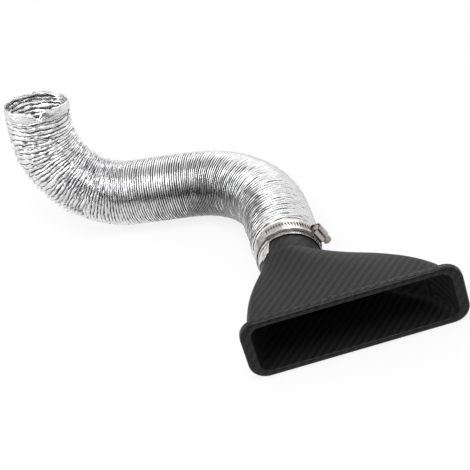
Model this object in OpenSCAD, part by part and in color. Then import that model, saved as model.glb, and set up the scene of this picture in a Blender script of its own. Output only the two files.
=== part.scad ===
// Bumper air intake duct: a moulded funnel for the opening in a bumper, a crimped foil duct
// pushed over its neck, and the worm-drive clamp that holds the two together.
// It stands on the lower edge of the funnel's rim and on the run of the duct that lies on the floor.

/* [Mouth] */
// Width of the mouth over its rim
mouth_w = 220; // [190:1:260]
// Height of the mouth over its rim
mouth_h = 68; // [66:0.5:80]
// Radius of the rim's corners
rim_corner_r = 18; // [14:0.5:24]
// Depth of the rim from its front face to its back
rim_depth = 8; // [6:0.1:10]
// How far the rim stands out past the body at each side
rim_side = 8.5; // [5:0.1:12]
// How far the rim stands out past the body at the top and at the bottom
rim_top = 4; // [3:0.1:5]
// Radius of the rim's outer edge
rim_round = 2.5; // [1:0.1:3]
// Radius of the soft edge round the opening
lip_round = 1.5; // [0.5:0.1:2]

/* [Funnel] */
// Length of the flared body from the rim's front face
flare_l = 104; // [85:1:125]
// Thickness of the moulded wall
wall = 2.5; // [1.5:0.1:3]
// Radius of the body's corners at the mouth
body_corner_r = 13; // [9:0.5:16]
// Distance of the neck to the left of the mouth's middle
neck_shift = 45; // [20:1:60]

/* [Neck] */
// Outside diameter of the neck
neck_d = 63; // [60:0.5:66]
// Thickness of the neck's wall
neck_wall = 2.5; // [2:0.1:3]
// Length of the neck past the flared body
neck_l = 46; // [45:1:55]

/* [Duct] */
// Height of a pleat
pleat_h = 3; // [2:0.05:3.4]
// Thickness of the crimped wall under the pleats
foil_t = 0.6; // [0.4:0.05:0.8]
// Turns of the crimped spiral
turns = 104; // [60:1:110]
// Thickness of the flattened cuff
cuff_t = 1.2; // [1:0.05:1.6]
// Length of the flattened cuff
cuff_l = 22.5; // [22.5:0.5:26]
// Distance of the cuff's edge from the flared body
cuff_gap = 19.5; // [14:0.5:20]
// Length of the smooth band at the free end
lip_l = 13; // [8:0.5:16]
// How far the smooth band bulges out
lip_bulge = 2; // [1:0.1:2.5]

/* [Route] */
// Length of the duct that stays straight over the neck
lead_l = 28; // [28:1:60]
// Radius of the easy bend that follows the neck
ease_r = 505; // [250:5:600]
// Turn of the easy bend
ease_turn = 7; // [4:0.5:12]
// Radius of the bend to the side
side_bend_r = 111; // [95:1:130]
// Turn of the bend to the side
side_turn = 67.5; // [50:0.5:80]
// Straight length on the floor
floor_l = 67; // [50:1:120]
// Radius of the bend upwards
riser_bend_r = 84.5; // [78:0.5:110]
// Turn of the bend upwards
riser_turn = 96; // [85:1:100]
// Lean of the riser away from the front
riser_lean = 12; // [0:1:20]
// Straight length at the top of the riser
riser_l = 28; // [20:1:60]

/* [Clamp] */
// Width of the clamp band
band_w = 14.3; // [12:0.1:16]
// Thickness of the clamp band
band_t = 0.7; // [0.5:0.05:0.8]
// Distance of the band from the cuff's edge
band_inset = 5.7; // [3:0.1:6]
// Where the worm housing sits, in degrees up from the right
housing_at = 21.5; // [0:0.5:45]
// Where the free tail of the band ends, in degrees up from the right
tail_at = 122; // [90:1:150]
// Width of a slot in the tail
slot_w = 2.2; // [1.5:0.1:2.4]
// Length of a slot in the tail
slot_l = 7.5; // [6:0.1:9]
// Length of the worm housing
housing_l = 14; // [12:0.5:16]
// Diameter of the worm over its thread
worm_d = 8.1; // [7.5:0.1:8.2]
// Size of the screw's hexagon across its flats
hex_af = 8; // [7:0.1:9]

/* [Hidden] */

// Clearance between metal pieces that seat on each other
seat = 0.1;
// Overrun of cuts past a face
over = 1;
// Overlap of two forms of one piece
bite = 0.5;

// Steps of the funnel's outline: half a long edge, a corner, half a short side
edge_steps = 6;
corner_steps = 5;
side_steps = 2;
// Steps of the flare from the neck to the mouth, and of the rim's round edges
flare_steps = 13;
round_steps = 3;
// How full the flanks are, as the powers of their curves
left_power = 2;
right_power = 1.65;
top_power = 2.6;
flank_soft = 1.13;
// Height of the bead where the flare meets the neck
bead = 0.8;

// The duct's section
duct_sides = 20;
flat_scale = 1 / cos(180 / duct_sides);
liner_r = (neck_d / 2 + seat) * flat_scale;
root_r = liner_r + foil_t;
crest_r = root_r + pleat_h;
cuff_r = liner_r + cuff_t;
// Extra share of the spacing that the pleats gain between the cuff and the free end
spread_share = 0.35;
// Turns over which the pleats rise at each end
ramp_turns = 1.5;
// Spacing of the rings of the smooth bore, and the rings of the smooth band at the free end
liner_step = 18;
lip_steps = 5;

// The duct lies on the floor, which sets the height of the neck
axis_z = crest_r;
mouth_z = mouth_h / 2;
neck_x = -neck_shift;
neck_r = neck_d / 2;
bore_r = neck_r - neck_wall;

function turned(v, axis, angle) =
    v * cos(angle) + cross(axis, v) * sin(angle) + axis * (axis * v) * (1 - cos(angle));
function arc_l(r, angle) = r * angle * PI / 180;

// Route of the duct: each leg is its length, its turn and the axis that it turns about
up = [0, 0, 1];
heading_start = [0, 1, 0];
heading_floor = turned(heading_start, up, ease_turn + side_turn);
riser_axis = turned(cross(heading_floor, up), heading_floor, riser_lean);
legs = [
    [lead_l, 0, up],
    [arc_l(ease_r, ease_turn), ease_turn, up],
    [arc_l(side_bend_r, side_turn), side_turn, up],
    [floor_l, 0, up],
    [arc_l(riser_bend_r, riser_turn), riser_turn, riser_axis],
    [riser_l, 0, riser_axis]
];

// A place on the route is its centre, its heading and the direction that starts as up
function along(place, leg, run) =
    let (p = place[0], d = place[1], angle = leg[1] * run / leg[0])
    [leg[1] == 0 ? p + d * run
        : p + (d * sin(angle) + cross(leg[2], d) * (1 - cos(angle))) * leg[0] / arc_l(1, leg[1]),
     turned(d, leg[2], angle), turned(place[2], leg[2], angle)];
duct_start = [neck_x, flare_l + cuff_gap, axis_z];
function leg_place(i) =
    i == 0 ? [duct_start, heading_start, up] : along(leg_place(i - 1), legs[i - 1], legs[i - 1][0]);
function leg_from(i) = i == 0 ? 0 : leg_from(i - 1) + legs[i - 1][0];
leg_places = [for (i = [0:len(legs) - 1]) leg_place(i)];
leg_starts = [for (i = [0:len(legs) - 1]) leg_from(i)];
duct_l = leg_from(len(legs));
function leg_at(s, i = 0) = i == len(legs) - 1 || s < leg_starts[i + 1] ? i : leg_at(s, i + 1);
function place_at(s) = let (i = leg_at(s)) along(leg_places[i], legs[i], s - leg_starts[i]);
function on_section(s, r, k) =
    let (q = place_at(s), angle = 360 * k / duct_sides)
    q[0] + (q[2] * cos(angle) + cross(q[1], q[2]) * sin(angle)) * r;
function ring(s, r) = [for (k = [0:duct_sides - 1]) on_section(s, r, k)];

// The spiral of the pleats: crests and roots are two strings of points half a turn's spacing apart
pleats_to = duct_l - lip_l - cuff_t;
last = turns * duct_sides;
first_loop = last - duct_sides;
function spread(share) = share * (1 - spread_share) + share * share * spread_share;
function spiral_at(k) = cuff_l + bite + (pleats_to - cuff_l - bite) * spread(k / last);
function rise_share(k) = max(0, min(1, k / duct_sides / ramp_turns, (last - k) / duct_sides / ramp_turns));
crests = [for (k = [0:last])
    on_section(spiral_at(k), cuff_r + (crest_r - cuff_r) * rise_share(k), k)];
roots = [for (k = [0:first_loop])
    on_section(spiral_at(k + duct_sides / 2), cuff_r + (root_r - cuff_r) * rise_share(k + duct_sides / 2), k)];
cuff_rings = [for (r = [ring(0, cuff_r), ring(cuff_l, cuff_r)]) each r];

// The smooth band at the free end, out along its bulge and back along its bore
band_from = duct_l - lip_l;
lip_r = liner_r + cuff_t;
lip_rings = concat(
    [for (i = [0:lip_steps])
        each ring(band_from + lip_l * i / lip_steps, lip_r + lip_bulge * sin(180 * i / lip_steps))],
    ring(duct_l, liner_r), ring(band_from, liner_r));
liner_count = ceil(band_from / liner_step);
liner = [for (i = [liner_count - 1:-1:0]) each ring(band_from * i / liner_count, liner_r)];
duct_points = concat(crests, roots, cuff_rings, lip_rings, liner);

// The origin is the middle of the whole part's box, at floor level
function least(points, axis) = min([for (p = points) p[axis]]);
function most(points, axis) = max([for (p = points) p[axis]]);
part_middle = [(least(duct_points, 0) + mouth_w / 2) / 2, most(duct_points, 1) / 2, 0];
module in_place() {
    translate(-part_middle) children();
}

// One quarter of a rounded outline, from the middle of its top edge to the middle of its right side
quarter_steps = edge_steps + corner_steps + side_steps;
rim_steps = 4 * quarter_steps;
function quarter(i, w, h, r) =
    i <= edge_steps ? [(w / 2 - r) * i / edge_steps, h / 2] :
    i <= edge_steps + corner_steps ?
        let (angle = 90 * (i - edge_steps) / corner_steps)
        [w / 2 - r + r * sin(angle), h / 2 - r + r * cos(angle)] :
    [w / 2, (h / 2 - r) * (quarter_steps - i) / side_steps];
function outline(i, w, h, r) =
    i <= quarter_steps ? quarter(i, w, h, r) :
    i <= 2 * quarter_steps ? let (p = quarter(2 * quarter_steps - i, w, h, r)) [p[0], -p[1]] :
    i <= 3 * quarter_steps ? -quarter(i - 2 * quarter_steps, w, h, r) :
    let (p = quarter(4 * quarter_steps - i, w, h, r)) [-p[0], p[1]];

// Rings of the rim, set in from its outer edge, and of the flared body, at a share t of its length
body_w = mouth_w - 2 * rim_side;
body_h = mouth_h - 2 * rim_top;
function rim_ring(inset, y) = [for (i = [0:rim_steps - 1])
    let (m = outline(i, mouth_w - 2 * inset, mouth_h - 2 * inset, rim_corner_r - inset))
    [m[0], y, mouth_z + m[1]]];
function body_ring(inset, y) = [for (i = [0:rim_steps - 1])
    let (m = outline(i, body_w - 2 * inset, body_h - 2 * inset, body_corner_r - inset))
    [m[0], y, mouth_z + m[1]]];
function flank_share(t, power) = pow(1 - pow(t, power), flank_soft);
function flare_ring(t, inset, end_r, y) = [for (i = [0:rim_steps - 1])
    let (m = outline(i, body_w - 2 * inset, body_h - 2 * inset, body_corner_r - inset),
         angle = 360 * i / rim_steps,
         n = [neck_x + end_r * sin(angle), axis_z + end_r * cos(angle)],
         side = m[0] * 2 / body_w,
         across = flank_share(t, (left_power + right_power - side * (left_power - right_power)) / 2),
         upwards = flank_share(t, top_power))
    [n[0] + (m[0] - n[0]) * across, y, n[1] + (mouth_z + m[1] - n[1]) * upwards]];

back_share = rim_depth / flare_l;
front_share = (wall + lip_round) / flare_l;
shell_rings = concat(
    [for (i = [0:flare_steps])
        let (t = 1 - (1 - back_share) * i / flare_steps)
        flare_ring(t, 0, neck_r + bead, t * flare_l)],
    [rim_ring(0, rim_depth)],
    [for (i = [0:round_steps])
        let (angle = 90 * i / round_steps)
        rim_ring(rim_round * (1 - cos(angle)), rim_round * (1 - sin(angle)))],
    [for (i = [0:round_steps])
        let (angle = 90 * i / round_steps)
        body_ring(wall - lip_round * (1 - sin(angle)), lip_round * (1 - cos(angle)))],
    [for (i = [1:flare_steps])
        let (t = front_share + (1 - front_share) * i / flare_steps)
        flare_ring(t, wall, bore_r - bead, t * flare_l - wall)],
    [flare_ring(1, wall, bore_r - bead, flare_l)]);

// Faces between two neighbouring points of one string and their partners on the next
function skin(a, b, c, d) = [[a, b, c], [a, c, d]];
shell_faces = [for (j = [0:len(shell_rings) - 1], i = [0:rim_steps - 1])
    let (n = (i + 1) % rim_steps, k = (j + 1) % len(shell_rings))
    each skin(j * rim_steps + i, j * rim_steps + n, k * rim_steps + n, k * rim_steps + i)];

// Funnel: the flared shell with its rim, and the round neck
module air_box() {
    color("#2b2b2d") in_place() union() {
        polyhedron([for (r = shell_rings) each r], shell_faces, convexity = 6);
        translate([neck_x, flare_l - bite, axis_z]) rotate([-90, 0, 0])
            rotate_extrude($fn = 96) translate([bore_r, 0])
                square([neck_wall, neck_l + bite]);
    }
}

// Where each list of points starts among the duct's points
roots_from = len(crests);
cuff_from = roots_from + len(roots);
lip_from = cuff_from + len(cuff_rings);
function next(j) = (j + 1) % duct_sides;

pleat_faces = [for (k = [0:first_loop - 1]) each concat(
    skin(k, roots_from + k, roots_from + k + 1, k + 1),
    skin(roots_from + k, k + duct_sides, k + duct_sides + 1, roots_from + k + 1))];
cuff_end = cuff_from + duct_sides;
cuff_last = cuff_end + duct_sides - 1;
cuff_faces = concat(
    [for (j = [0:duct_sides - 2]) each skin(cuff_end + j, j, j + 1, cuff_end + j + 1)],
    [[cuff_last, duct_sides - 1, duct_sides], [cuff_last, duct_sides, roots_from],
     [cuff_last, roots_from, 0], [cuff_last, 0, cuff_end]]);
end_faces = concat(
    [for (j = [1:duct_sides - 1])
        each skin(first_loop + j, lip_from + j, lip_from + next(j), first_loop + j + 1)],
    [[first_loop, roots_from + first_loop, lip_from + 1], [roots_from + first_loop, last, lip_from + 1],
     [last, lip_from, lip_from + 1], [first_loop, lip_from + 1, first_loop + 1]]);
// From the smooth band's first ring round its edge, back along the bore and out over the cuff
tube_starts = concat(
    [for (i = [0:lip_steps + 2 + liner_count]) lip_from + i * duct_sides], [cuff_from, cuff_end]);
tube_faces = [for (i = [0:len(tube_starts) - 2], j = [0:duct_sides - 1])
    let (a = tube_starts[i], b = tube_starts[i + 1])
    each skin(a + j, b + j, b + next(j), a + next(j))];

// Duct: the crimped spiral between its flattened cuff and the smooth band at its free end
module foil_duct() {
    color("#c9ccd0") in_place()
        polyhedron(duct_points, concat(pleat_faces, cuff_faces, end_faces, tube_faces), convexity = 12);
}

// Levels of the clamp, out from the neck's axis
inner_r = cuff_r + seat;
saddle_r = inner_r + band_t + seat;
saddle_t = 0.65;
tail_r = saddle_r + saddle_t + seat;
tail_out_r = tail_r + band_t;
worm_r = worm_d / 2;
worm_gap = 0.2;
screw_at = tail_out_r + worm_gap + worm_r;

// Puts a form with its axis along Z onto the neck, its angles counted up from the right and its
// middle at the middle of the band
module on_neck() {
    translate([neck_x, duct_start[1] + band_inset + band_w / 2, axis_z]) rotate([90, 0, 0]) children();
}

// A curved strip: its inner radius, its thickness and the angles that it runs between
module strip(r, t, from, to, w) {
    rotate([0, 0, from]) rotate_extrude(angle = to - from, $fn = 180)
        translate([r, -w / 2]) square([t, w]);
}

// Angles where the band starts, rises onto the saddle's far side and runs on as the tail
start_turn = 10;
rise_turn = 26;
risen_turn = 12;
band_start = housing_at - start_turn;
full_turn = 360;
rise_start = full_turn + housing_at - rise_turn;
rise_end = full_turn + housing_at - risen_turn;
band_end = full_turn + tail_at;
band_steps = 196;
slot_pitch = 4.9;
// Share of a slot's spacing that stays plain before the tail's tip
plain_share = 0.4;
slot_count = floor((tail_at - housing_at) / slot_pitch - plain_share);
slot_lean = 8;
slot_first = -1;

function band_angle(i) = band_start + (band_end - band_start) * i / band_steps;
function band_point(i, t) =
    let (angle = band_angle(i),
         share = max(0, min(1, (angle - rise_start) / (rise_end - rise_start))))
    (inner_r + t + (tail_r - inner_r) * (1 - cos(180 * share)) / 2) * [cos(angle), sin(angle)];

// Clamp band: one strip round the cuff, whose slotted tail lies over its first turn
module clamp_band() {
    slot_from = (inner_r + band_t + tail_r) / 2;
    color("#b9b3ab") in_place() on_neck() difference() {
        linear_extrude(band_w, center = true) polygon(concat(
            [for (i = [0:band_steps]) band_point(i, 0)],
            [for (i = [band_steps:-1:0]) band_point(i, band_t)]));
        for (i = [slot_first:slot_count - 1])
            rotate([0, 0, housing_at + i * slot_pitch])
                translate([slot_from, 0, 0]) rotate([slot_lean, 0, 0])
                    translate([0, -slot_w / 2, -slot_l / 2])
                        cube([tail_out_r - slot_from + over, slot_w, slot_l]);
    }
}

// Clamp saddle: the curved plate between the first turn and the tail
module clamp_saddle() {
    saddle_turn = 9.5;
    color("#aca69c") in_place() on_neck()
        strip(saddle_r, saddle_t, housing_at - saddle_turn, housing_at + saddle_turn, band_w);
}

housing_t = 0.8;
housing_side = 0.15;
foot_r = inner_r + band_t / 2;
shoulder_r = tail_out_r + worm_gap;
barrel_r = worm_r + worm_gap;

module housing_profile(grow) {
    translate([screw_at, 0]) circle(r = barrel_r + grow, $fn = 48);
    half_w = band_w / 2 + housing_side + grow;
    polygon([[foot_r - (grow == 0 ? over : 0), -half_w], [shoulder_r + grow, -half_w],
             [screw_at, -barrel_r - grow], [screw_at, barrel_r + grow],
             [shoulder_r + grow, half_w], [foot_r - (grow == 0 ? over : 0), half_w]]);
}

// Clamp housing: a bent-up cover whose legs grip the band's edges
module clamp_housing() {
    color("#c4bcb2") in_place() on_neck() rotate([0, 0, housing_at]) rotate([90, 0, 0])
        linear_extrude(housing_l, center = true) difference() {
            housing_profile(housing_t);
            housing_profile(0);
        }
}

worm_tip = 2;
thread_pitch = 2.2;
thread_h = 0.7;
thread_count = 7;
// Where a thread's flat crest starts and ends, as shares of the pitch
crest_from_share = 0.35;
crest_to_share = 0.65;
collar_r = 4.8;
collar_t = 1;
head_l = 4.5;
driver_slot_w = 1.2;
driver_slot_deep = 1.6;

// Clamp screw: the worm, a collar and a slotted hexagon head
module clamp_screw() {
    head_z = housing_l / 2 + seat + collar_t;
    color("#b8ab84") in_place() on_neck() rotate([0, 0, housing_at])
        translate([screw_at, 0, 0]) rotate([90, 0, 0]) {
            translate([0, 0, housing_l / 2 - thread_count * thread_pitch])
                rotate_extrude($fn = 48) polygon(concat(
                    [[0, -worm_tip / 2], [worm_r - thread_h, -worm_tip / 2]],
                    [for (i = [0:thread_count - 1]) each [
                        [worm_r - thread_h, i * thread_pitch],
                        [worm_r, (i + crest_from_share) * thread_pitch],
                        [worm_r, (i + crest_to_share) * thread_pitch]]],
                    [[worm_r - thread_h, thread_count * thread_pitch],
                     [worm_r - thread_h, thread_count * thread_pitch + seat + bite],
                     [0, thread_count * thread_pitch + seat + bite]]));
            translate([0, 0, housing_l / 2 + seat]) cylinder(r = collar_r, h = collar_t, $fn = 48);
            difference() {
                translate([0, 0, head_z - collar_t / 2])
                    cylinder(r = hex_af / sqrt(3), h = head_l + collar_t / 2, $fn = 6);
                translate([-hex_af, -driver_slot_w / 2, head_z + head_l - driver_slot_deep])
                    cube([2 * hex_af, driver_slot_w, driver_slot_deep + over]);
            }
        }
}

air_box();
foil_duct();
clamp_band();
clamp_saddle();
clamp_housing();
clamp_screw();
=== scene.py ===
# %% [markdown]
# # A bumper air intake duct
# The object is a moulded black funnel for the opening in a bumper, a crimped foil duct pushed over
# its round neck, and the worm-drive clamp that holds them together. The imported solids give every
# place and size. This script gives each piece its finished surface: the funnel a smooth shell with a
# printed twill pattern, the duct its fine foil pleats, and the clamp its steel.

# %% Load the frame and keep its box
import bpy, bmesh, math
from mathutils import Matrix, Vector, noise


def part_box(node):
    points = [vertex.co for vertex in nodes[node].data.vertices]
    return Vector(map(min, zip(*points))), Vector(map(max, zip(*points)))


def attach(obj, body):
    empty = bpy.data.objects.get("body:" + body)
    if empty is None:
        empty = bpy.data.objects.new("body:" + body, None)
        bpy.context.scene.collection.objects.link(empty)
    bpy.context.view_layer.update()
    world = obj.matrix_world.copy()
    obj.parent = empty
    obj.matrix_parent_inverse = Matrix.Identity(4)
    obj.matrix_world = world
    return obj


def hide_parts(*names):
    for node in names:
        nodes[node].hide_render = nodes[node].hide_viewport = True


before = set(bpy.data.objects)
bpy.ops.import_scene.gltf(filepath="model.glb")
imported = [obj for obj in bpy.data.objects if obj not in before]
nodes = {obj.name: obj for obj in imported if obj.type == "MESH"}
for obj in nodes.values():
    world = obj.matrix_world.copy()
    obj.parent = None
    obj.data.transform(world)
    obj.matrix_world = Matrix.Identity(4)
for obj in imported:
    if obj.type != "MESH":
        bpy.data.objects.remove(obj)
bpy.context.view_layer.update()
MM = 0.001

# %% [markdown]
# Everything below is placed from one point: the middle of the mouth, on its front face, at floor
# level. The funnel's own box gives it, so nothing has to be fitted by eye. Lengths are written in
# millimetres, as a maker would read them off the part, and turned into metres here.

# %% The mouth's middle, and millimetres measured from it
funnel_low, funnel_high = [Vector(corner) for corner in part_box("air_box")]
mouth = Vector(((funnel_low.x + funnel_high.x) / 2, funnel_low.y, funnel_low.z))


def spot(x, y, z):
    """A place in millimetres from the middle of the mouth, as a place in the frame."""
    return mouth + Vector((x, y, z)) * MM


print("mouth's middle", [round(value, 4) for value in mouth])

# %% [markdown]
# The picture was taken from in front and above with a long lens, and the camera was rolled, so the
# mouth's edge climbs to the right. A camera looks along its own minus Z with plus Y up, so three
# directions written as columns give its turn exactly.

# %% Camera
camera_data = bpy.data.cameras.new("camera")
camera_data.sensor_width = 36
camera_data.lens = 137.87
camera_data.clip_end = 20
camera = bpy.data.objects.new("camera", camera_data)
camera_right = Vector((0.958087, -0.125204, -0.257669))
camera_up = Vector((0.282026, 0.570165, 0.771604))
camera_turn = Matrix((camera_right, camera_up, camera_right.cross(camera_up))).transposed()
camera.matrix_world = Matrix.Translation(spot(0, -1327.9, 1124.4)) @ camera_turn.to_4x4()
bpy.context.scene.collection.objects.link(camera)
bpy.context.scene.camera = camera
bpy.context.scene.view_settings.view_transform = "Standard"

# %% [markdown]
# A material is a small graph of nodes. These helpers add a node, set its inputs and link it, so each
# material below reads as a short list of what the surface is made of.

# %% Helpers for materials
def new_material(name):
    """An empty material: its tree, its surface shader and its coordinates on the object."""
    material = bpy.data.materials.new(name)
    material.use_nodes = True
    tree = material.node_tree
    surface = tree.nodes["Principled BSDF"]
    place = tree.nodes.new("ShaderNodeTexCoord").outputs["Object"]
    return material, tree, surface, place


def add(tree, kind, links=(), **settings):
    """Adds a node, sets its properties, and links or sets its inputs."""
    node = tree.nodes.new(kind)
    for name, value in settings.items():
        setattr(node, name, value)
    for socket, value in dict(links).items():
        if isinstance(value, bpy.types.NodeSocket):
            tree.links.new(value, node.inputs[socket])
        else:
            node.inputs[socket].default_value = value
    return node


def maths(tree, operation, *values):
    """Adds a node that calculates with values or sockets, and gives its result."""
    return add(tree, "ShaderNodeMath", dict(enumerate(values)), operation=operation).outputs[0]


def ranged(tree, value, reads=(0.0, 1.0), gives=(0.0, 1.0)):
    """Adds a node that maps a range of the value onto another, and gives its result."""
    ends = {"From Min": reads[0], "From Max": reads[1], "To Min": gives[0], "To Max": gives[1]}
    return add(tree, "ShaderNodeMapRange", {"Value": value, **ends}).outputs[0]


def new_group(name, sockets_in, sockets_out):
    """A node group with named inputs, each with a type and a value, and named outputs."""
    group = bpy.data.node_groups.new(name, "ShaderNodeTree")
    for label, kind, value in sockets_in:
        socket = group.interface.new_socket(label, in_out="INPUT", socket_type=kind)
        if value is not None:
            socket.default_value = value
    for label, kind in sockets_out:
        group.interface.new_socket(label, in_out="OUTPUT", socket_type=kind)
    start = group.nodes.new("NodeGroupInput")
    end = group.nodes.new("NodeGroupOutput")
    return group, start, end


# %% [markdown]
# The background is a plain white sheet. It is white to the camera and to reflections, but only a
# soft grey as a light, so that the object isn't flooded. Light Path tells those rays apart.

# %% World
world = bpy.data.worlds.new("studio")
bpy.context.scene.world = world
world.use_nodes = True
sky = world.node_tree
path = add(sky, "ShaderNodeLightPath")
seen = maths(sky, "MAXIMUM", path.outputs["Is Camera Ray"], path.outputs["Is Glossy Ray"])
seen = maths(sky, "MAXIMUM", seen, path.outputs["Is Transmission Ray"])
strength = ranged(sky, seen, gives=(0.55, 1.0))
sky.links.new(strength, sky.nodes["Background"].inputs["Strength"])
sky.nodes["Background"].inputs["Color"].default_value = (1, 1, 1, 1)

# %% [markdown]
# The floor is a large round sheet under the part. Its own glow makes it white to the camera, and a
# little diffuse white in the mix keeps the soft shadow where the duct lies on it.

# %% Floor
floor_mesh = bpy.data.meshes.new("floor")
shape = bmesh.new()
bmesh.ops.create_circle(shape, cap_ends=True, segments=64, radius=3.0)
bmesh.ops.translate(shape, verts=shape.verts, vec=(0, 0, -0.0004))
shape.to_mesh(floor_mesh)
shape.free()
floor = bpy.data.objects.new("floor", floor_mesh)
bpy.context.scene.collection.objects.link(floor)
floor_paint, tree, surface, place = new_material("floor_white")
surface.inputs["Base Color"].default_value = (0.86, 0.86, 0.86, 1)
surface.inputs["Roughness"].default_value = 1.0
surface.inputs["Specular IOR Level"].default_value = 0.0
glow = add(tree, "ShaderNodeEmission", {"Color": (1, 1, 1, 1), "Strength": 1.0})
path = add(tree, "ShaderNodeLightPath")
seen = maths(tree, "MAXIMUM", path.outputs["Is Camera Ray"], path.outputs["Is Glossy Ray"])
share = ranged(tree, seen, gives=(0.0, 0.82))
mix = add(tree, "ShaderNodeMixShader", {0: share, 1: surface.outputs[0], 2: glow.outputs[0]})
tree.links.new(mix.outputs[0], tree.nodes["Material Output"].inputs["Surface"])
floor_mesh.materials.append(floor_paint)

# %% [markdown]
# Bright foil shows what stands round it, so it wants one large soft lamp above and in front, which
# makes the white band along the duct. Below that band the real foil shows the darker end of the
# room. A dark card stands in for it: only reflections see the card, so it casts no shadow.

# %% Lamps and the dark card
def lamp(name, place, aim, size, power):
    """A square soft lamp at a place, aimed at another, both in millimetres from the mouth."""
    data = bpy.data.lights.new(name, "AREA")
    data.shape = "SQUARE"
    data.size = size
    data.energy = power
    thing = bpy.data.objects.new(name, data)
    thing.location = spot(*place)
    thing.rotation_euler = (spot(*aim) - thing.location).to_track_quat("-Z", "Y").to_euler()
    bpy.context.scene.collection.objects.link(thing)
    return thing


lamp("lamp_top", (-150, -250, 1400), (-100, 250, 40), 0.9, 13)
lamp("lamp_left", (-1400, 200, 800), (-80, 180, 40), 0.7, 6)
lamp("lamp_back", (500, 1500, 900), (-80, 180, 40), 0.8, 6)

# For each direction: the card's middle, the side of its square that runs this way, and how far
CARD = ((-300, 0, 1000), (-900, 1, -500), (420, 1, 400))
card_mesh = bpy.data.meshes.new("dark_card")
shape = bmesh.new()
bmesh.ops.create_grid(shape, x_segments=1, y_segments=1, size=1)
for vert in shape.verts:
    vert.co = spot(*(middle + vert.co[axis] * half for middle, axis, half in CARD))
shape.to_mesh(card_mesh)
shape.free()
card = bpy.data.objects.new("dark_card", card_mesh)
bpy.context.scene.collection.objects.link(card)
card.visible_camera = card.visible_diffuse = card.visible_shadow = card.visible_transmission = False
card_paint, tree, surface, place = new_material("card_dark")
surface.inputs["Base Color"].default_value = (0.01, 0.01, 0.01, 1)
surface.inputs["Roughness"].default_value = 1.0
surface.inputs["Specular IOR Level"].default_value = 0.0
card_mesh.materials.append(card_paint)
print("lamps, card and camera are placed")

# %% [markdown]
# ## The funnel
# The real funnel is one vacuum-formed or moulded shell. A loft makes it: one ring of points, shaped
# as the rounded mouth, is extruded back ring by ring while it turns into the round neck, then comes
# back inside at the wall's thickness. Each ring holds the same number of points, so it is the same
# edge loop all the way, and a bevel isn't needed where the rings already follow the round edges.

# %% Sizes of the funnel, in millimetres
MOUTH_W, MOUTH_H, RIM_R, RIM_DEPTH = 220, 68, 18, 8
RIM_SIDE, RIM_TOP, RIM_ROUND, LIP_ROUND = 8.5, 4, 2.5, 1.5
FLARE_L, WALL, BODY_R = 104, 2.5, 13
NECK_X, AXIS_Z, NECK_R, BORE_R, NECK_END = -45, 35.59, 31.5, 29, 150
BODY_W, BODY_H = MOUTH_W - 2 * RIM_SIDE, MOUTH_H - 2 * RIM_TOP
LEFT_POWER, RIGHT_POWER, TOP_POWER, FLANK_SOFT = 2.0, 1.65, 2.6, 1.13
BEAD = 0.8
AROUND = 128


def rounded(share, width, height, radius):
    """A point of a rounded rectangle, at a share of the way round from the middle of its top."""
    long_run, short_run, arc = width / 2 - radius, height / 2 - radius, math.pi / 2 * radius
    quarter = long_run + arc + short_run
    turn = share * 4 % 4
    step, part = int(turn), turn % 1
    run = (part if step % 2 == 0 else 1 - part) * quarter
    if run < long_run:
        x, z = run, height / 2
    elif run < long_run + arc:
        angle = (run - long_run) / radius
        x = width / 2 - radius + radius * math.sin(angle)
        z = height / 2 - radius + radius * math.cos(angle)
    else:
        x, z = width / 2, quarter - run
    return (x if step in (0, 1) else -x), (z if step in (0, 3) else -z)


# %% [markdown]
# The flanks follow a power curve: full near the mouth, then drawn in towards the neck, and fuller on
# the left than on the right because the neck sits to the left.

# %% Rings of the funnel
def straight_ring(width, height, radius, y):
    """A ring of the rim: a rounded rectangle at a depth."""
    points = [rounded(k / AROUND, width, height, radius) for k in range(AROUND)]
    return [(x, y, MOUTH_H / 2 + z) for x, z in points]


def flare_ring(t, inset, end_r, y):
    """A ring of the flared body, at a share t of the way to the neck."""
    ring = []
    for k in range(AROUND):
        x, z = rounded(k / AROUND, BODY_W - 2 * inset, BODY_H - 2 * inset, BODY_R - inset)
        angle = 2 * math.pi * k / AROUND
        neck_x, neck_z = NECK_X + end_r * math.sin(angle), AXIS_Z + end_r * math.cos(angle)
        side = x * 2 / BODY_W
        power = (LEFT_POWER + RIGHT_POWER - side * (LEFT_POWER - RIGHT_POWER)) / 2
        across = max(0, 1 - t ** power) ** FLANK_SOFT
        upwards = max(0, 1 - t ** TOP_POWER) ** FLANK_SOFT
        ring.append((neck_x + (x - neck_x) * across, y, neck_z + (MOUTH_H / 2 + z - neck_z) * upwards))
    return ring


def round_ring(radius, y):
    """A ring of the round neck."""
    turns = [2 * math.pi * k / AROUND for k in range(AROUND)]
    return [(NECK_X + radius * math.sin(a), y, AXIS_Z + radius * math.cos(a)) for a in turns]


FLARE_STEPS, ROUND_STEPS = 30, 5
rings = [round_ring(NECK_R, NECK_END - 0.6), round_ring(NECK_R, 118), round_ring(NECK_R, FLARE_L + 0.9),
         round_ring(NECK_R + BEAD * 0.8, FLARE_L + 0.3)]
for i in range(FLARE_STEPS + 1):
    t = 1 - (1 - (RIM_DEPTH + 0.8) / FLARE_L) * i / FLARE_STEPS
    rings.append(flare_ring(t, 0, NECK_R + BEAD, t * FLARE_L))
rings.append(straight_ring(BODY_W + 0.8, BODY_H + 0.8, BODY_R + 0.4, RIM_DEPTH + 0.1))
rings.append(straight_ring(MOUTH_W - 1.2, MOUTH_H - 1.2, RIM_R - 0.6, RIM_DEPTH))
rings.append(straight_ring(MOUTH_W - 0.2, MOUTH_H - 0.2, RIM_R - 0.1, RIM_DEPTH - 0.4))
rings.append(straight_ring(MOUTH_W, MOUTH_H, RIM_R, RIM_DEPTH - 1.2))
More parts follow.
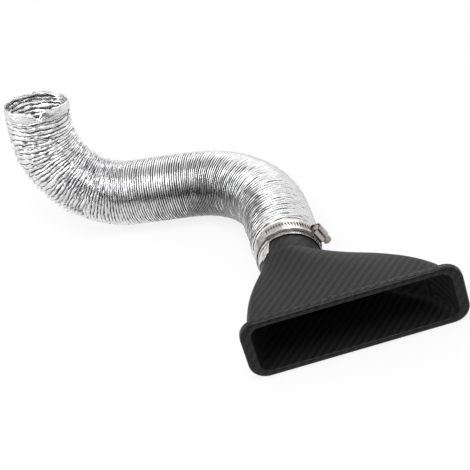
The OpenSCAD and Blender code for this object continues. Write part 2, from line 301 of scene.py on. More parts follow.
for i in range(ROUND_STEPS + 1):
    angle = math.pi / 2 * i / ROUND_STEPS
    inset, y = RIM_ROUND * (1 - math.cos(angle)), RIM_ROUND * (1 - math.sin(angle))
    rings.append(straight_ring(MOUTH_W - 2 * inset, MOUTH_H - 2 * inset, RIM_R - inset, y))
for i in range(ROUND_STEPS + 1):
    angle = math.pi / 2 * i / ROUND_STEPS
    inset, y = WALL - LIP_ROUND * (1 - math.sin(angle)), LIP_ROUND * (1 - math.cos(angle))
    rings.append(straight_ring(BODY_W - 2 * inset, BODY_H - 2 * inset, BODY_R - inset, y))
for i in range(1, FLARE_STEPS + 1):
    start = (WALL + LIP_ROUND) / FLARE_L
    t = start + (1 - start) * i / FLARE_STEPS
    rings.append(flare_ring(t, WALL, BORE_R - BEAD, t * FLARE_L - WALL))
rings += [round_ring(BORE_R, FLARE_L + 1), round_ring(BORE_R, NECK_END - 0.5),
          round_ring(BORE_R + 0.5, NECK_END), round_ring(NECK_R - 0.6, NECK_END)]
print("the funnel has", len(rings), "rings of", AROUND, "points")


# %% [markdown]
# The loft itself: `create_circle` makes the first loop, each `extrude_edge_only` copies the last
# loop, and the copies are moved onto the next ring. `bridge_loops` closes the last loop to the first.

# %% A loft through closed rings
def loft(name, rings, closed=True):
    """One shell through rings of points in millimetres, each with the same number of points."""
    shape = bmesh.new()
    made = bmesh.ops.create_circle(shape, cap_ends=False, segments=len(rings[0]), radius=1)
    loop = list(made["verts"])
    for vert, place in zip(loop, rings[0]):
        vert.co = spot(*place)
    first_edges = list(shape.edges)
    edges = first_edges
    for ring in rings[1:]:
        made = bmesh.ops.extrude_edge_only(shape, edges=edges)["geom"]
        fresh = {item for item in made if isinstance(item, bmesh.types.BMVert)}
        edges = [item for item in made if isinstance(item, bmesh.types.BMEdge)]
        edges = [edge for edge in edges if edge.verts[0] in fresh and edge.verts[1] in fresh]
        loop = [next(edge.other_vert(vert) for edge in vert.link_edges
                     if edge.other_vert(vert) in fresh) for vert in loop]
        for vert, place in zip(loop, ring):
            vert.co = spot(*place)
    if closed:
        bmesh.ops.bridge_loops(shape, edges=first_edges + edges)
    bmesh.ops.recalc_face_normals(shape, faces=shape.faces)
    return finish(name, shape)


def finish(name, shape, smooth=True):
    """Turns a bmesh into an object at the origin, smooth shaded, that rides on the part."""
    mesh = bpy.data.meshes.new(name)
    shape.to_mesh(mesh)
    shape.free()
    for face in mesh.polygons:
        face.use_smooth = smooth
    thing = bpy.data.objects.new(name, mesh)
    bpy.context.scene.collection.objects.link(thing)
    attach(thing, "root")
    print(name, "has", len(mesh.polygons), "faces")
    return thing


funnel = loft("funnel", rings)
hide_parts("air_box")

# %% [markdown]
# ## The foil duct
# The real duct is a strip of thin aluminium, wound in a spiral and crimped into close pleats. The
# mesh is made the same way. `create_grid` gives a long strip, as wide as one pleat and as long as
# all the turns; each of its points is then wound onto the duct's route. The strip's two long edges
# fall on each other a turn apart, and `remove_doubles` sews them. At both ends the spacing shrinks
# to nothing, which cuts the tube off square.

# %% The route of the duct
UP = Vector((0, 0, 1))
LEAD_L, EASE_R, EASE_TURN = 28, 505, 7
SIDE_R, SIDE_TURN, FLOOR_L = 111, 67.5, 67
RISER_R, RISER_TURN, RISER_LEAN, RISER_L = 84.5, 96, 12, 28
DUCT_START = Vector((NECK_X, 123.5, AXIS_Z))


def turned(vector, axis, degrees):
    """A direction turned about an axis."""
    return Matrix.Rotation(math.radians(degrees), 3, axis) @ vector


floor_heading = turned(Vector((0, 1, 0)), UP, EASE_TURN + SIDE_TURN)
riser_axis = turned(floor_heading.cross(UP), floor_heading, RISER_LEAN)
legs = [(LEAD_L, 0, UP), (math.radians(EASE_TURN) * EASE_R, EASE_TURN, UP),
        (math.radians(SIDE_TURN) * SIDE_R, SIDE_TURN, UP), (FLOOR_L, 0, UP),
        (math.radians(RISER_TURN) * RISER_R, RISER_TURN, riser_axis), (RISER_L, 0, riser_axis)]


def along(place, leg, run):
    """The centre, heading and up direction a run of millimetres along a leg."""
    centre, heading, top = place
    length, turn, axis = leg
    if turn == 0:
        return centre + heading * run, heading, top
    angle = turn * run / length
    radius = length / math.radians(turn)
    ahead, aside = math.sin(math.radians(angle)), 1 - math.cos(math.radians(angle))
    bend = heading * ahead + axis.cross(heading) * aside
    return centre + bend * radius, turned(heading, axis, angle), turned(top, axis, angle)


starts, places = [0], [(DUCT_START, Vector((0, 1, 0)), UP)]
for leg in legs:
    places.append(along(places[-1], leg, leg[0]))
    starts.append(starts[-1] + leg[0])
DUCT_L = starts[-1]


def place_at(s):
    """The route's centre, heading and up direction at a length along it."""
    i = max(k for k in range(len(legs)) if k == 0 or s >= starts[k])
    return along(places[i], legs[i], s - starts[i])


print("the duct is", round(DUCT_L), "mm long and ends at", [round(v, 1) for v in places[-1][0]])

# %% [markdown]
# The pleats sit close together in the middle of the run. They open out towards the clamp and round
# the upward bend, as they do when such a duct is pulled and bent by hand. Noise gives every pleat
# its own height and lean. The noise functions are fixed, so the duct is the same at each run.

# %% Spacing of the pleats
SIDES, PLEAT_STEPS = 96, 6
HEM_L = 3
# The distance between pleats in millimetres, by the share of the duct's length
spacing_at = [(0.0, 4.0), (0.18, 4.1), (0.34, 3.4), (0.46, 2.7), (0.6, 2.7), (0.72, 3.6),
              (0.88, 4.6), (1.0, 5.4)]


def read_off(table, value):
    """A value read off a table, straight between its entries."""
    for (low, a), (high, b) in zip(table, table[1:]):
        if value <= high:
            return a + (b - a) * (value - low) / (high - low)
    return table[-1][1]


def spacing(share):
    """The distance between pleats, at a share of the duct's length."""
    return read_off(spacing_at, share)


FOIL_L = DUCT_L + HEM_L
marks = [0.0]
while marks[-1] < FOIL_L:
    marks.append(marks[-1] + spacing(marks[-1] / FOIL_L))
marks = [mark * FOIL_L / marks[-1] for mark in marks]
turns = len(marks) - 1
print("the duct has", turns, "turns of pleat")


def length_at(phase):
    """The length of foil used up after a number of turns, with square ends."""
    phase = min(max(phase - 1, 0), turns)
    i = min(int(phase), turns - 1)
    return marks[i] + (marks[i + 1] - marks[i]) * (phase - i)


def soft(edge_low, edge_high, value):
    """A smooth rise from 0 to 1 between two edges."""
    t = min(max((value - edge_low) / (edge_high - edge_low), 0), 1)
    return t * t * (3 - 2 * t)


# %% [markdown]
# Three things differ along the duct: the flattened cuff on the neck, the pleats, and the free end,
# where the last of the foil bulges into a smooth band and is folded back inside as a hem. Each is a
# radius and a length along the route, so one function holds them all. A pleat is a broad round crest
# with a narrow valley, because the foil was pushed together until the crests almost touched.

# %% Where each point of the foil goes
CUFF_L, LIP_L = 22.5, 13
FLAP_R, CUFF_R, ROOT_R, CREST_R, LIP_R, HEM_R = 32.0, 32.7, 32.8, 35.5, 34.4, 33.2
CUFF_SHARP = 4.5
# How far the torn edge of the cuff hangs over the neck, by its angle from the top
flap_at = [(-180, 0), (-104, 0), (-92, 1.5), (-75, 6), (-60, 11), (-45, 14), (-35, 14.5), (-31.5, 4),
           (-28, 0.5), (-15, 0), (180, 0)]
# How far the edge of the free end stands above or below square, by its angle from the top
rim_at = [(-180, -1), (-150, 0), (-90, 0.3), (-40, 0.6), (0, 0), (45, -2.4), (75, -3.4), (90, -2.2),
          (105, -1.2), (120, -0.8), (135, -2.4), (150, -2.6), (165, 0), (180, -1)]
# The tear in the smooth band of the free end: its angle from the top, its half width and its depth
TEAR_AT, TEAR_WIDE, TEAR_DEEP = -60, 11, 9.0


def duct_place(phase, part, inset=0):
    """A point of the foil: phase in turns round the duct, part across one pleat."""
    total = phase + part
    used = length_at(total)
    angle = 2 * math.pi * phase
    degrees = (math.degrees(angle) + 180) % 360 - 180
    east, north = math.cos(angle), math.sin(angle)
    folded = max(used - DUCT_L, 0)
    s = min(used, DUCT_L) - folded
    along_duct = s / DUCT_L
    slow = noise.noise(Vector((east * 1.3, north * 1.3, s * 0.03)))
    drift = noise.noise(Vector((east * 4.0, north * 4.0, total * 0.3)))
    each = noise.noise(Vector((east * 2.6, north * 2.6, total * 1.37)))
    quick = noise.noise(Vector((east * 6.5, north * 6.5, total * 1.7)))
    fine = noise.noise(Vector((east * 15, north * 15, total * 2.3)))
    loose = 0.32 + 0.88 * soft(0.56, 0.75, along_duct)
    scatter = loose ** 3 * min(spacing(along_duct) / 4.6, 1) ** 2
    pleated = soft(CUFF_L - 3, CUFF_L + 4, s)
    crest = 1 - abs(math.sin(math.pi * part)) ** 1.8
    lip = 0
    if inset:
        pleated *= 1 - 0.55 * soft(DUCT_L - LIP_L, DUCT_L - 2, s)
    else:
        pleated *= 1 - soft(DUCT_L - LIP_L - 3, DUCT_L - LIP_L + 2, s)
        lip = soft(DUCT_L - LIP_L - 3, DUCT_L - LIP_L + 3, s)
    pressed_flat = min(spacing(along_duct) / 4, 1) ** 1.6
    pressed_flat *= 1 - 0.5 * soft(0.74, 0.88, along_duct)
    root = CREST_R - (CREST_R - ROOT_R) * pressed_flat
    base = CUFF_R + (root - CUFF_R) * pleated + (LIP_R - CUFF_R) * lip
    height = (CREST_R - ROOT_R) * pleated * pressed_flat * (1 + loose * (0.55 * each + 0.45 * quick))
    bulge = lip * 1.6 * math.sin(math.pi * min(max((s - DUCT_L + LIP_L) / LIP_L, 0), 1))
    radius = base + height * crest + bulge
    radius += loose * pleated * (0.5 * slow + 0.25 * quick + 0.2 * fine)
    radius += scatter * (0.25 * quick + 0.15 * fine)
    if folded:
        radius = LIP_R + (HEM_R - LIP_R) * soft(0, 2, folded) + bulge * (1 - soft(0, 2, folded))
    ragged = noise.noise(Vector((east * 2.5, north * 2.5, 4.2)))
    ragged += 0.6 * noise.noise(Vector((east * 9, north * 9, 8.1)))
    run = s + pleated * (loose * (1.3 * slow + 0.8 * drift)
                         + scatter * (0.9 * each + 0.8 * quick + 0.5 * fine))
    near_rim = soft(DUCT_L - LIP_L, DUCT_L, s)
    run += near_rim * (read_off(rim_at, degrees) + 1.6 * ragged)
    tear = max(0, 1 - abs(degrees - TEAR_AT - 0.8 * (DUCT_L - s)) / TEAR_WIDE)
    run -= near_rim * TEAR_DEEP * tear
    radius -= near_rim * 1.2 * tear
    near_cuff = 1 - soft(0, CUFF_SHARP, s)
    jagged = noise.noise(Vector((east * 22, north * 22, 2.6)))
    run -= near_cuff * read_off(flap_at, degrees) * (1 + 0.35 * ragged + 0.4 * jagged)
    run += near_cuff * 0.7 * ragged
    if s < CUFF_L:
        rolled = math.exp(-((run - 0.9) / 0.9) ** 2)
        radius += 0.35 * rolled + 0.12 * quick + 0.1 * fine
        radius += (FLAP_R - CUFF_R) * (1 - soft(-1.2, 0, run))
    centre, heading, top = place_at(min(max(run, 0), DUCT_L))
    centre = centre + heading * (min(run, 0) + max(run - DUCT_L, 0))
    side = heading.cross(top)
    return centre + (top * east + side * north) * (radius - inset)


# %% [markdown]
# A bend pushes the pleats together on its inner side and pulls them apart on its outer side. The foil
# passes this on to its neighbours, so the bend of the route is averaged over a stretch. The result
# goes with the strip as a second map, and the material makes its lines of painted shade wider or thinner
# by it.

# %% How far a bend closes the pleats
# A bend tells on the pleats this far ahead of a point and behind it, looked at in steps
BEND_REACH, BEND_STEP = 24, 8


def pinch_at(phase, part):
    """How much a bend closes the pleats here: above 0.5 inside the bend, below 0.5 outside it."""
    s = min(length_at(phase + part), DUCT_L)
    angle = 2 * math.pi * phase
    centre, heading, top = place_at(s)
    out = top * math.cos(angle) + heading.cross(top) * math.sin(angle)
    # The foil has bunched up on the left, ahead of the side bend, which widens the painted shade lines
    # there
    bunched = 0.3 * soft(18, 40, s) * (1 - soft(80, 125, s)) * max(0, -out.x)
    near = bends[max(int(s) - BEND_REACH, 0):int(s) + BEND_REACH + 1:BEND_STEP]
    samples = 2 * BEND_REACH // BEND_STEP + 1
    return 0.5 + bunched + sum(out.dot(bend) for bend in near) * CREST_R / samples


def bend_at(s):
    """The bend of the route at a length: towards its middle, and longer the tighter it is."""
    leg = legs[max(k for k in range(len(legs)) if k == 0 or s >= starts[k])]
    return leg[2].cross(place_at(s)[1]) * math.radians(leg[1]) / leg[0]


bends = [bend_at(s) for s in range(int(DUCT_L) + 1)]


# %% [markdown]
# The strip keeps a map of itself: U counts the turns round the duct and V counts the pleats. The
# materials read it to know where a valley is, so their lines of painted shade fall exactly into the
# creases.

# %% Wind a strip onto the route
def wind(name, first, rounds, inset):
    """A strip of foil wound onto the route, from a turn on and for a number of turns."""
    strip = bmesh.new()
    bmesh.ops.create_grid(strip, x_segments=rounds * SIDES, y_segments=PLEAT_STEPS, size=1,
                          calc_uvs=False)
    pleat_map = strip.loops.layers.uv.new("pleats")
    pinch_map = strip.loops.layers.uv.new("pinch")
    where = {}
    for vert in strip.verts:
        step = round((vert.co.x + 1) / 2 * rounds * SIDES)
        part = round((vert.co.y + 1) / 2 * PLEAT_STEPS) / PLEAT_STEPS
        where[vert] = (first + step / SIDES, part)
    pinch = {vert: pinch_at(*where[vert]) for vert in strip.verts}
    for face in strip.faces:
        for corner in face.loops:
            phase, part = where[corner.vert]
            corner[pleat_map].uv = (phase, phase + part)
            corner[pinch_map].uv = (pinch[corner.vert], 0.5)
        middle = length_at(sum(sum(where[vert]) for vert in face.verts) / len(face.verts))
        face.material_index = 1 if middle < CUFF_L - 1 or middle > DUCT_L - LIP_L - 1 else 0
    for vert, (phase, part) in where.items():
        vert.co = spot(*duct_place(phase, part, inset))
    bmesh.ops.remove_doubles(strip, verts=strip.verts, dist=0.00002)
    bmesh.ops.recalc_face_normals(strip, faces=strip.faces)
    return strip


# A vote among some of the faces is enough to tell which way they all look
VOTE_EVERY = 501


def face_outwards(strip, outwards):
    """Turns the strip's faces away from the route's middle line, or towards it."""
    route = [spot(*place_at(s)[0]) for s in range(0, int(DUCT_L), 4)]
    votes = 0
    for face in list(strip.faces)[::VOTE_EVERY]:
        middle = face.calc_center_median()
        nearest = min(route, key=lambda centre: (centre - middle).length)
        votes += 1 if face.normal.dot(middle - nearest) > 0 else -1
    if (votes > 0) != outwards:
        bmesh.ops.reverse_faces(strip, faces=strip.faces)


strip = wind("duct", 0, turns + 1, 0)
face_outwards(strip, True)
duct = finish("duct", strip)
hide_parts("foil_duct")

# %% [markdown]
# Foil looks different from within: the crests outside are the valleys inside. A second short strip
# lines the free end, a little further in, so that its lines of painted shade fall in the inside valleys.

# %% The inside of the free end
LINING_L = 120
lining_from = next(i for i, mark in enumerate(marks) if mark > DUCT_L - LINING_L) + 1
lining_to = next(i for i, mark in enumerate(marks) if mark > DUCT_L - 1)
strip = wind("duct_lining", lining_from, lining_to - lining_from, 0.4)
face_outwards(strip, False)
lining = finish("duct_lining", strip)

# %% [markdown]
# ## Materials
# The foil comes first. Two of its surfaces share the same effects, the crimped pleats and the
# smooth bands at the ends, so the effects are node groups. The first group turns the strip's map
# into two handy things: how far across a pleat a point lies, and a place wrapped round a cylinder,
# where textures have no seam.

# %% Group: places on the wound foil
def foil_places():
    """Node group: from the pleat map to the share across a pleat and a seamless wrapped place."""
    group, start, end = new_group("foil_places", [("Map", "NodeSocketVector", None)],
                                  [("Across", "NodeSocketFloat"), ("Wrapped", "NodeSocketVector")])
    parts = add(group, "ShaderNodeSeparateXYZ", {0: start.outputs["Map"]})
    turn, pleat = parts.outputs[0], parts.outputs[1]
    gap = maths(group, "SUBTRACT", pleat, turn)
    across = maths(group, "FRACT", gap)
    angle = maths(group, "MULTIPLY", turn, 2 * math.pi)
    east = maths(group, "COSINE", angle)
    north = maths(group, "SINE", angle)
    wide_east = maths(group, "MULTIPLY", east, 10.0)
    wide_north = maths(group, "MULTIPLY", north, 10.0)
    wrapped = add(group, "ShaderNodeCombineXYZ", {0: wide_east, 1: wide_north, 2: pleat})
    group.links.new(across, end.inputs["Across"])
    group.links.new(wrapped.outputs[0], end.inputs["Wrapped"])
    return group


places_group = foil_places()

# %% [markdown]
# Crumpled foil is made of many small flat facets, each tilted its own way. A Voronoi texture gives
# each cell a centre and a colour. Taking the colour as a tilt, the distance from the centre along
# that tilt is the height of a flat, leaning facet.

# %% Group: crumpled facets
def crumpled():
    """Node group: the height of small flat facets that lean at random."""
    group, start, end = new_group(
        "crumpled_foil",
        [("Place", "NodeSocketVector", None), ("Fineness", "NodeSocketFloat", 1.0)],
        [("Height", "NodeSocketFloat")])
    bent = add(group, "ShaderNodeTexNoise", {"Vector": start.outputs["Place"], "Scale": 1.3,
                                             "Detail": 2.0})
    moved = add(group, "ShaderNodeVectorMath", {0: bent.outputs["Color"], 1: (0.5, 0.5, 0.5)},
                operation="SUBTRACT")
    pushed = add(group, "ShaderNodeVectorMath", {0: moved.outputs[0], "Scale": 1.2}, operation="SCALE")
    place = add(group, "ShaderNodeVectorMath", {0: start.outputs["Place"], 1: pushed.outputs[0]},
                operation="ADD")
    cells = add(group, "ShaderNodeTexVoronoi", {"Vector": place.outputs[0],
                                                "Scale": start.outputs["Fineness"]})
    away = add(group, "ShaderNodeVectorMath", {0: place.outputs[0], 1: cells.outputs["Position"]},
               operation="SUBTRACT")
    tilt = add(group, "ShaderNodeVectorMath", {0: cells.outputs["Color"], 1: (0.5, 0.5, 0.5)},
               operation="SUBTRACT")
    height = add(group, "ShaderNodeVectorMath", {0: away.outputs[0], 1: tilt.outputs[0]},
                 operation="DOT_PRODUCT")
    group.links.new(height.outputs["Value"], end.inputs["Height"])
    return group


crumpled_group = crumpled()

# %% [markdown]
# The crimped foil is bright metal. In the narrow valleys light is lost from wall to wall, so a line of
# painted shade follows each of them in the colour. The lines are wider inside the bends, where the
# pleats are pinched, and noise breaks them up. Where the duct was bent upwards by hand the foil is
# dented too: its facets lean more, and short streaks of painted shade run along the pleats.

# %% Crimped foil
def crimped(name, valley_at, light, widest):
    """Crimped foil whose lines of painted shade lie at a share across the pleat."""
    foil, tree, surface, place = new_material(name)
    surface.inputs["Metallic"].default_value = 1.0
    pleats = add(tree, "ShaderNodeUVMap", uv_map="pleats")
    pinch = add(tree, "ShaderNodeUVMap", uv_map="pinch")
    pinched = add(tree, "ShaderNodeSeparateXYZ", {0: pinch.outputs[0]})
    wound = add(tree, "ShaderNodeGroup", node_tree=places_group)
    tree.links.new(pleats.outputs[0], wound.inputs["Map"])
    number = add(tree, "ShaderNodeSeparateXYZ", {0: wound.outputs["Wrapped"]})
    handled = ranged(tree, number.outputs[2], (turns * 0.58, turns * 0.74))
    moved = maths(tree, "ADD", wound.outputs["Across"], 0.5 - valley_at)
    share = maths(tree, "FRACT", moved)
    middle = maths(tree, "SUBTRACT", share, 0.5)
    off_valley = maths(tree, "ABSOLUTE", middle)
    stretched = add(tree, "ShaderNodeVectorMath", {0: wound.outputs["Wrapped"], 1: (0.45, 0.45, 2.4)},
                    operation="MULTIPLY")
    streaks = add(tree, "ShaderNodeTexNoise", {"Vector": stretched.outputs[0], "Scale": 1.0,
                                               "Detail": 4.0, "Roughness": 0.62})
    least = ranged(tree, handled, gives=(widest * 0.55, widest * 0.35))
    patches = add(tree, "ShaderNodeTexNoise", {"Vector": wound.outputs["Wrapped"], "Scale": 0.3,
                                               "Detail": 2.0})
    wide = ranged(tree, streaks.outputs[0], (0.34, 0.6), gives=(least, widest))
    closed = maths(tree, "POWER", pinched.outputs[0], 3.0)
    squeeze = ranged(tree, closed, (0.008, 0.5), gives=(0.85, 2.8))
    eased = add(tree, "ShaderNodeMix", {"Factor": handled, 2: squeeze, 3: 0.72},
                data_type="FLOAT")
    fewer = add(tree, "ShaderNodeVectorMath", {0: wound.outputs["Wrapped"], 1: (0.12, 0.12, 0.9)},
                operation="MULTIPLY")
    choice = add(tree, "ShaderNodeTexNoise", {"Vector": fewer.outputs[0], "Scale": 1.0, "Detail": 1.0})
    deep = ranged(tree, choice.outputs[0], (0.4, 0.6), gives=(0.75, 1.2))
    # Painted shade: the lines change width towards the duct's lower side, growing wider outside the bent
    # stretch
    lowest = ranged(tree, handled, gives=(1.9, 0.75))
    wider_shade_below = ranged(tree, number.outputs[0], (-1.0, -7.0), gives=(1.0, lowest))
    picked = maths(tree, "MULTIPLY", deep, wider_shade_below)
    uneven = maths(tree, "MULTIPLY", wide, picked)
    asked = maths(tree, "MULTIPLY", uneven, eased.outputs[0])
    width = maths(tree, "MINIMUM", asked, 0.54)
    core = maths(tree, "MULTIPLY", width, 0.6)
    # Painted shade: a dark line along each valley, where light is lost between the pleat walls
    valley_shade = ranged(tree, off_valley, (width, core))
    # Painted shade in the dents: short dark streaks along the pleats, in patches, on the bent stretch
    streak_shade = ranged(tree, streaks.outputs[0], (0.55, 0.61))
    patch = ranged(tree, patches.outputs[0], (0.42, 0.6))
    patchy_dent_shade = maths(tree, "MULTIPLY", streak_shade, patch)
    dent_shade = maths(tree, "MULTIPLY", patchy_dent_shade, handled)
    dark = maths(tree, "MAXIMUM", valley_shade, dent_shade)
    shade_amount = maths(tree, "MULTIPLY", dark, 0.93)
    tone = add(tree, "ShaderNodeMix", {"Factor": shade_amount, 6: (light, light, light * 1.01, 1),
                                       7: (0.03, 0.03, 0.032, 1)}, data_type="RGBA")
    tree.links.new(tone.outputs[2], surface.inputs["Base Color"])
    gloss = ranged(tree, patches.outputs[0], (0.3, 0.7), gives=(0.16, 0.32))
    tree.links.new(gloss, surface.inputs["Roughness"])
    facets = add(tree, "ShaderNodeGroup", node_tree=crumpled_group)
    tree.links.new(stretched.outputs[0], facets.inputs["Place"])
    facets.inputs["Fineness"].default_value = 1.3
    lean = ranged(tree, handled, gives=(0.2, 0.45))
    bump = add(tree, "ShaderNodeBump", {"Strength": lean, "Distance": 0.0012,
                                        "Height": facets.outputs["Height"]})
    tree.links.new(bump.outputs[0], surface.inputs["Normal"])
    return foil


foil = crimped("crimped_foil", 0.5, 0.79, 0.27)
# The inside takes a lighter tone than the outside: painted light on the shaded inside of the free end
foil_inside_lit = crimped("crimped_foil_inside_lit", 0.0, 0.85, 0.28)

# %% [markdown]
# The cuff and the band at the free end are the same foil, pressed flat. The old creases stay as thin
# grey lines of painted shade, a dark line of painted shadow runs round the cuff's edge, and the facets
# are larger and shallower.

# %% Pressed foil
pressed, tree, surface, place = new_material("pressed_foil")
surface.inputs["Metallic"].default_value = 1.0
pleats = add(tree, "ShaderNodeUVMap", uv_map="pleats")
wound = add(tree, "ShaderNodeGroup", node_tree=places_group)
tree.links.new(pleats.outputs[0], wound.inputs["Map"])
lines = add(tree, "ShaderNodeVectorMath", {0: wound.outputs["Wrapped"], 1: (0.25, 0.25, 4.0)},
            operation="MULTIPLY")
creases = add(tree, "ShaderNodeTexNoise", {"Vector": lines.outputs[0], "Scale": 1.0, "Detail": 4.0})
# Painted shade: thin grey lines along the old creases
crease_shade = ranged(tree, creases.outputs[0], (0.56, 0.68), gives=(0.0, 0.6))
# Painted shadow: a dark line round the cuff's edge, where its rolled edge meets the flap
depth = add(tree, "ShaderNodeSeparateXYZ", {0: place})
off_edge = maths(tree, "SUBTRACT", depth.outputs[1], spot(0, DUCT_START.y, 0).y)
near_edge = maths(tree, "ABSOLUTE", off_edge)
cuff_edge_shadow = ranged(tree, near_edge, (0.0003, 0.001), gives=(0.95, 0.0))
shade_lines = maths(tree, "MAXIMUM", crease_shade, cuff_edge_shadow)
tone = add(tree, "ShaderNodeMix", {"Factor": shade_lines, 6: (0.76, 0.76, 0.76, 1),
                                   7: (0.1, 0.1, 0.103, 1)}, data_type="RGBA")
tree.links.new(tone.outputs[2], surface.inputs["Base Color"])
surface.inputs["Roughness"].default_value = 0.26
facets = add(tree, "ShaderNodeGroup", node_tree=crumpled_group)
tree.links.new(lines.outputs[0], facets.inputs["Place"])
facets.inputs["Fineness"].default_value = 0.9
bump = add(tree, "ShaderNodeBump", {"Strength": 0.35, "Distance": 0.0012,
                                    "Height": facets.outputs["Height"]})
tree.links.new(bump.outputs[0], surface.inputs["Normal"])
duct.data.materials.append(foil)
duct.data.materials.append(pressed)
lining.data.materials.append(foil_inside_lit)
lining.data.materials.append(foil_inside_lit)

# %% [markdown]
# The funnel is black plastic with a woven look: a 2/2 twill, where each tow of fibre passes over two
# and under two, a step further along each time. Numbering the tows in both directions and adding
# the numbers gives that step, and the remainder after dividing by four says which tow lies on top.

# %% Group: twill weave
def twill():
    """Node group: a 2/2 twill from a flat place: which tow is on top, and how its back curves."""
    group, start, end = new_group(
        "twill_weave",
        [("Place", "NodeSocketVector", None), ("Tows a metre", "NodeSocketFloat", 380.0)],
        [("Over", "NodeSocketFloat"), ("Stripe", "NodeSocketFloat"), ("Height", "NodeSocketFloat")])
    laid = add(group, "ShaderNodeVectorRotate",
               {"Vector": start.outputs["Place"], "Angle": math.radians(-7)}, rotation_type="Z_AXIS")
    scaled = add(group, "ShaderNodeVectorMath",
                 {0: laid.outputs[0], "Scale": start.outputs["Tows a metre"]}, operation="SCALE")
    parts = add(group, "ShaderNodeSeparateXYZ", {0: scaled.outputs[0]})
    column = maths(group, "FLOOR", parts.outputs[0])
    row = maths(group, "FLOOR", parts.outputs[1])
    step = maths(group, "SUBTRACT", column, row)
    four = maths(group, "FLOORED_MODULO", step, 4.0)
    over = maths(group, "LESS_THAN", four, 1.5)
    slant = maths(group, "SUBTRACT", parts.outputs[0], parts.outputs[1])
    wave = maths(group, "MULTIPLY", slant, math.pi / 2)
    stripe = maths(group, "SINE", wave)
    hump_x = maths(group, "FRACT", parts.outputs[0])
    hump_y = maths(group, "FRACT", parts.outputs[1])
    backs = []
    for hump in (hump_x, hump_y):
        angle = maths(group, "MULTIPLY", hump, math.pi)
        backs.append(maths(group, "SINE", angle))
    height = add(group, "ShaderNodeMix", {"Factor": over, 2: backs[1],
                                          3: backs[0]}, data_type="FLOAT")
    group.links.new(over, end.inputs["Over"])
    group.links.new(stripe, end.inputs["Stripe"])
    group.links.new(height.outputs[0], end.inputs["Height"])
    return group


twill_group = twill()

# %% [markdown]
# The pattern lies flat on the top, the bottom, the sides and the rim's front alike, so it is laid from
# above on faces that look up or down, from the side on faces that look sideways, and from the front
# on faces that look forwards. The face's own direction chooses among the three.

# %% Twill plastic
twill_plastic, tree, surface, place = new_material("twill_plastic")
coords = next(node for node in tree.nodes if node.bl_idname == "ShaderNodeTexCoord")
facing = add(tree, "ShaderNodeSeparateXYZ", {0: coords.outputs["Normal"]})
sideways = maths(tree, "ABSOLUTE", facing.outputs[0])
chosen = maths(tree, "GREATER_THAN", sideways, 0.72)
flat = add(tree, "ShaderNodeSeparateXYZ", {0: place})
from_side = add(tree, "ShaderNodeCombineXYZ", {0: flat.outputs[2], 1: flat.outputs[1]})
laid = add(tree, "ShaderNodeMix", {"Factor": chosen, 4: place, 5: from_side.outputs[0]},
           data_type="VECTOR")
forwards = maths(tree, "ABSOLUTE", facing.outputs[1])
faced = maths(tree, "GREATER_THAN", forwards, 0.72)
from_front = add(tree, "ShaderNodeCombineXYZ", {0: flat.outputs[0], 1: flat.outputs[2]})
lie = add(tree, "ShaderNodeMix", {"Factor": faced, 4: laid.outputs[1], 5: from_front.outputs[0]},
          data_type="VECTOR")
weave = add(tree, "ShaderNodeGroup", node_tree=twill_group)
tree.links.new(lie.outputs[1], weave.inputs["Place"])
soft_stripe = ranged(tree, weave.outputs["Stripe"], (-1.0, 1.0))
blend = add(tree, "ShaderNodeMix", {"Factor": 0.6, 2: weave.outputs["Over"], 3: soft_stripe},
            data_type="FLOAT")
tone = add(tree, "ShaderNodeMix", {"Factor": blend.outputs[0], 6: (0.006, 0.006, 0.007, 1),
                                   7: (0.018, 0.018, 0.0192, 1)}, data_type="RGBA")
tree.links.new(tone.outputs[2], surface.inputs["Base Color"])
surface.inputs["Roughness"].default_value = 0.5
surface.inputs["Specular IOR Level"].default_value = 0.2
bump = add(tree, "ShaderNodeBump", {"Strength": 0.4, "Distance": 0.0003,
                                    "Height": weave.outputs["Height"]})
tree.links.new(bump.outputs[0], surface.inputs["Normal"])

# %% [markdown]
# The rim has the same weave, glossier and in darker tones that are painted shade, so it takes a copy of
# the material. Its faces are the ones in the first millimetres behind the mouth's front that don't belong
# to the inside.

# %% Rim plastic
# A darker copy of the twill plastic: its darker tones are painted shade on the rim
rim_plastic_shaded = twill_plastic.copy()
rim_plastic_shaded.name = "rim_plastic_shaded"
for node in rim_plastic_shaded.node_tree.nodes:
    if node.bl_idname == "ShaderNodeMix" and node.data_type == "RGBA":
        node.inputs[6].default_value = (0.003, 0.003, 0.0035, 1)
        node.inputs[7].default_value = (0.012, 0.012, 0.013, 1)
    if node.bl_idname == "ShaderNodeBsdfPrincipled":
        node.inputs["Roughness"].default_value = 0.33
funnel.data.materials.append(twill_plastic)
funnel.data.materials.append(rim_plastic_shaded)
inner_w, inner_h = (BODY_W / 2 - WALL) * MM, (BODY_H / 2 - WALL) * MM
for face in funnel.data.polygons:
    from_mouth = face.center - spot(0, 0, MOUTH_H / 2)
    inside = abs(from_mouth.x) < inner_w + 0.0001 and abs(from_mouth.z) < inner_h + 0.0001
    face.material_index = 1 if from_mouth.y < (RIM_DEPTH + 0.05) * MM and not inside else 0

# %% [markdown]
# ## The clamp
# The band, saddle and housing are stainless steel with a warm tinge, drawn lengthwise, so their grain
# is stretched round the neck. The screw is plated, which gives it a yellower tone.

